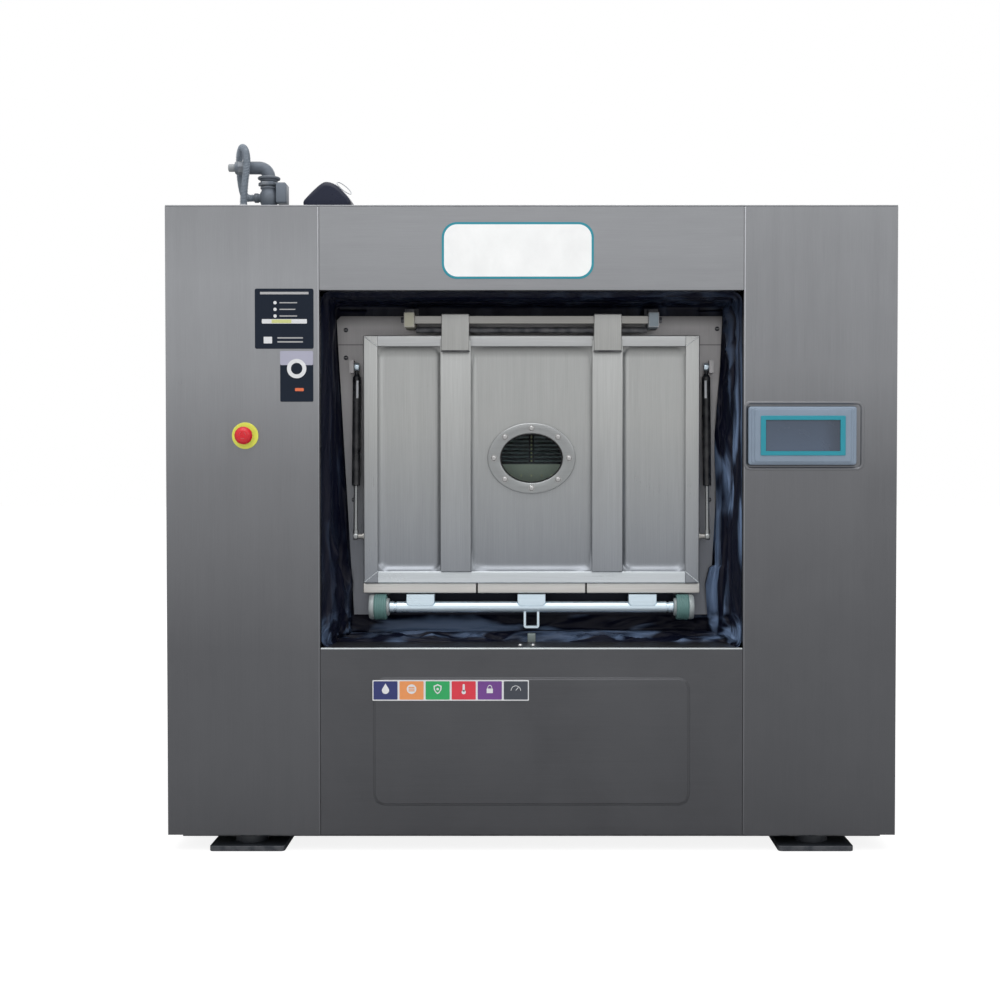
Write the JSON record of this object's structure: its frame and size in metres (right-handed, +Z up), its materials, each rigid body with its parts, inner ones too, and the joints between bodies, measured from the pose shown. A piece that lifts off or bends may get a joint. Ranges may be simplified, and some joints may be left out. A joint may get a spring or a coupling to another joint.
{
  "type": "barrier washer",
  "caption": "Side-loading barrier washer: steel cabinet, sprung tub and drum between two top-hung, gas-sprung doors with lock bars, for a wall between two rooms.",
  "frame": {"origin": "on the floor under the middle of the machine", "axes": "+Z up, the loading side faces -Y, +X to the right seen from the loading side"},
  "size_m": [1.66, 1.2658, 1.6293],
  "materials": {
    "cabinet_steel": "vertical brushed stainless sheet",
    "lower_steel": "brushed stainless, darker in the room's reflection",
    "door_steel": "brushed stainless with weld marks",
    "tub_steel": "satin stainless plate",
    "bright_steel": "bright satin bar",
    "frame_paint": "dark paint",
    "casting": "grey cast parts",
    "inlet_metal": "grey cast fittings",
    "bellows_fabric": "coated dark navy fabric",
    "seal_rubber": "black rubber",
    "green_bush": "green elastomer",
    "black_paint": "gloss black paint",
    "foot_steel": "dark plate",
    "stop_red": "red mushroom",
    "stop_yellow": "yellow plate",
    "bezel_plastic": "light blue-grey moulding",
    "screen_plastic": "dark screen",
    "porthole_glass": "clear glass",
    "conduit_plastic": "grey ribbed conduit",
    "hood_plastic": "dark hood"
  },
  "bodies": {
    "cabinet": {"base_frame": "frame_paint", "front_left_foot": "foot_steel", "front_right_foot": "foot_steel", "rear_left_foot": "foot_steel", "rear_right_foot": "foot_steel", "left_casing": "cabinet_steel", "right_casing": "cabinet_steel", "front_lintel": "cabinet_steel", "rear_lintel": "cabinet_steel", "front_lower_panel": "lower_steel", "rear_lower_panel": "lower_steel", "top_cover": "cabinet_steel", "front_bellows": "bellows_fabric", "rear_bellows": "bellows_fabric", "front_estop_plate": "stop_yellow", "rear_estop_plate": "stop_yellow", "touch_panel_bezel": "bezel_plastic", "touch_panel_screen": "screen_plastic", "inlet_valve": "inlet_metal", "conduit_hose": "conduit_plastic", "vent_hood": "hood_plastic"},
    "tub": {"outer_tub": "tub_steel", "left_bearing_housing": "casting", "right_bearing_housing": "casting", "motor": "casting", "drain_valve": "casting", "belt": "seal_rubber", "front_left_spring": "frame_paint", "front_right_spring": "frame_paint", "rear_left_spring": "frame_paint", "rear_right_spring": "frame_paint", "front_left_lock_bush": "green_bush", "front_right_lock_bush": "green_bush"},
    "drum": {"drum_shell": "bright_steel", "left_drum_shaft": "bright_steel", "right_drum_shaft": "bright_steel", "drum_pulley": "casting"},
    "drum_lid": {"drum_door": "bright_steel"},
    "rotor": {"motor_pulley": "casting"},
    "front_leaf": {"front_door": "door_steel", "front_porthole_ring": "bright_steel", "front_porthole_glass": "porthole_glass", "front_door_seal": "seal_rubber", "front_hinge_bar": "bright_steel"},
    "rear_leaf": {"rear_door": "door_steel", "rear_porthole_ring": "bright_steel", "rear_porthole_glass": "porthole_glass", "rear_door_seal": "seal_rubber"},
    "front_lock": {"front_lock_bar": "bright_steel"},
    "rear_lock": {"rear_lock_bar": "bright_steel"},
    "front_stop": {"front_estop_button": "stop_red"},
    "rear_stop": {"rear_estop_button": "stop_red"},
    "front_left_cylinder": {"front_left_gas_cylinder": "black_paint"},
    "front_left_rod": {"front_left_gas_rod": "bright_steel"},
    "front_right_cylinder": {"front_right_gas_cylinder": "black_paint"},
    "front_right_rod": {"front_right_gas_rod": "bright_steel"},
    "rear_left_cylinder": {"rear_left_gas_cylinder": "black_paint"},
    "rear_left_rod": {"rear_left_gas_rod": "bright_steel"},
    "rear_right_cylinder": {"rear_right_gas_cylinder": "black_paint"},
    "rear_right_rod": {"rear_right_gas_rod": "bright_steel"}
  },
  "joints": [
    {"name": "tub_float", "type": "slide", "parent": "cabinet", "child": "tub", "axis": [0, 0, 1], "range_m": [-0.008, 0.008], "stiffness_N_per_m": 470000, "springref_m": 0.01557, "deforming": ["front_left_spring", "front_right_spring", "rear_left_spring", "rear_right_spring"]},
    {"name": "drum_spin", "type": "hinge", "parent": "tub", "child": "drum", "pos_m": [0, 0, 0.88], "axis": [1, 0, 0], "continuous": true},
    {"name": "motor_spin", "type": "hinge", "parent": "tub", "child": "rotor", "pos_m": [-0.58, 0, 0.33], "axis": [1, 0, 0], "continuous": true},
    {"name": "drum_door_swing", "type": "hinge", "parent": "drum", "child": "drum_lid", "pos_m": [0, -0.26038, 1.10634], "axis": [1, 0, 0], "range_deg": [0, 85]},
    {"name": "front_door_swing", "type": "hinge", "parent": "tub", "child": "front_leaf", "pos_m": [0, -0.495, 1.222], "axis": [-1, 0, 0], "range_deg": [0, 95]},
    {"name": "front_lock_turn", "type": "hinge", "parent": "tub", "child": "front_lock", "pos_m": [0, -0.47, 0.5473], "axis": [-1, 0, 0], "range_deg": [0, 90]},
    {"name": "front_stop_press", "type": "slide", "parent": "cabinet", "child": "front_stop", "axis": [0, 1, 0], "range_m": [0, 0.005], "stiffness_N_per_m": 600},
    {"name": "front_left_gas_swing", "type": "hinge", "parent": "tub", "child": "front_left_cylinder", "pos_m": [-0.415, -0.445, 1.116], "axis": [-1, 0, 0], "range_deg": [0, 98.72]},
    {"name": "front_left_gas_extend", "type": "slide", "parent": "front_left_cylinder", "child": "front_left_rod", "axis": [0, -0.087, -0.9962], "range_m": [0, 0.17026]},
    {"name": "front_right_gas_swing", "type": "hinge", "parent": "tub", "child": "front_right_cylinder", "pos_m": [0.415, -0.445, 1.116], "axis": [-1, 0, 0], "range_deg": [0, 98.72]},
    {"name": "front_right_gas_extend", "type": "slide", "parent": "front_right_cylinder", "child": "front_right_rod", "axis": [0, -0.087, -0.9962], "range_m": [0, 0.17026]},
    {"name": "rear_door_swing", "type": "hinge", "parent": "tub", "child": "rear_leaf", "pos_m": [0, 0.495, 1.222], "axis": [1, 0, 0], "range_deg": [0, 95]},
    {"name": "rear_lock_turn", "type": "hinge", "parent": "tub", "child": "rear_lock", "pos_m": [0, 0.47, 0.5473], "axis": [1, 0, 0], "range_deg": [0, 90]},
    {"name": "rear_stop_press", "type": "slide", "parent": "cabinet", "child": "rear_stop", "axis": [0, -1, 0], "range_m": [0, 0.005], "stiffness_N_per_m": 600},
    {"name": "rear_left_gas_swing", "type": "hinge", "parent": "tub", "child": "rear_left_cylinder", "pos_m": [0.415, 0.445, 1.116], "axis": [1, 0, 0], "range_deg": [0, 98.72]},
    {"name": "rear_left_gas_extend", "type": "slide", "parent": "rear_left_cylinder", "child": "rear_left_rod", "axis": [0, 0.087, -0.9962], "range_m": [0, 0.17026]},
    {"name": "rear_right_gas_swing", "type": "hinge", "parent": "tub", "child": "rear_right_cylinder", "pos_m": [-0.415, 0.445, 1.116], "axis": [1, 0, 0], "range_deg": [0, 98.72]},
    {"name": "rear_right_gas_extend", "type": "slide", "parent": "rear_right_cylinder", "child": "rear_right_rod", "axis": [0, 0.087, -0.9962], "range_m": [0, 0.17026]}
  ],
  "couplings": [
    {"joint": "motor_spin", "follows": "drum_spin", "ratio": 4},
    {"joint": "front_left_gas_swing", "follows": "front_door_swing", "ratio": 1.0387},
    {"joint": "front_left_gas_extend", "follows": "front_door_swing", "m_per_rad": 0.10256},
    {"joint": "front_right_gas_swing", "follows": "front_door_swing", "ratio": 1.0387},
    {"joint": "front_right_gas_extend", "follows": "front_door_swing", "m_per_rad": 0.10256},
    {"joint": "rear_left_gas_swing", "follows": "rear_door_swing", "ratio": 1.0387},
    {"joint": "rear_left_gas_extend", "follows": "rear_door_swing", "m_per_rad": 0.10256},
    {"joint": "rear_right_gas_swing", "follows": "rear_door_swing", "ratio": 1.0387},
    {"joint": "rear_right_gas_extend", "follows": "rear_door_swing", "m_per_rad": 0.10256}
  ]
}
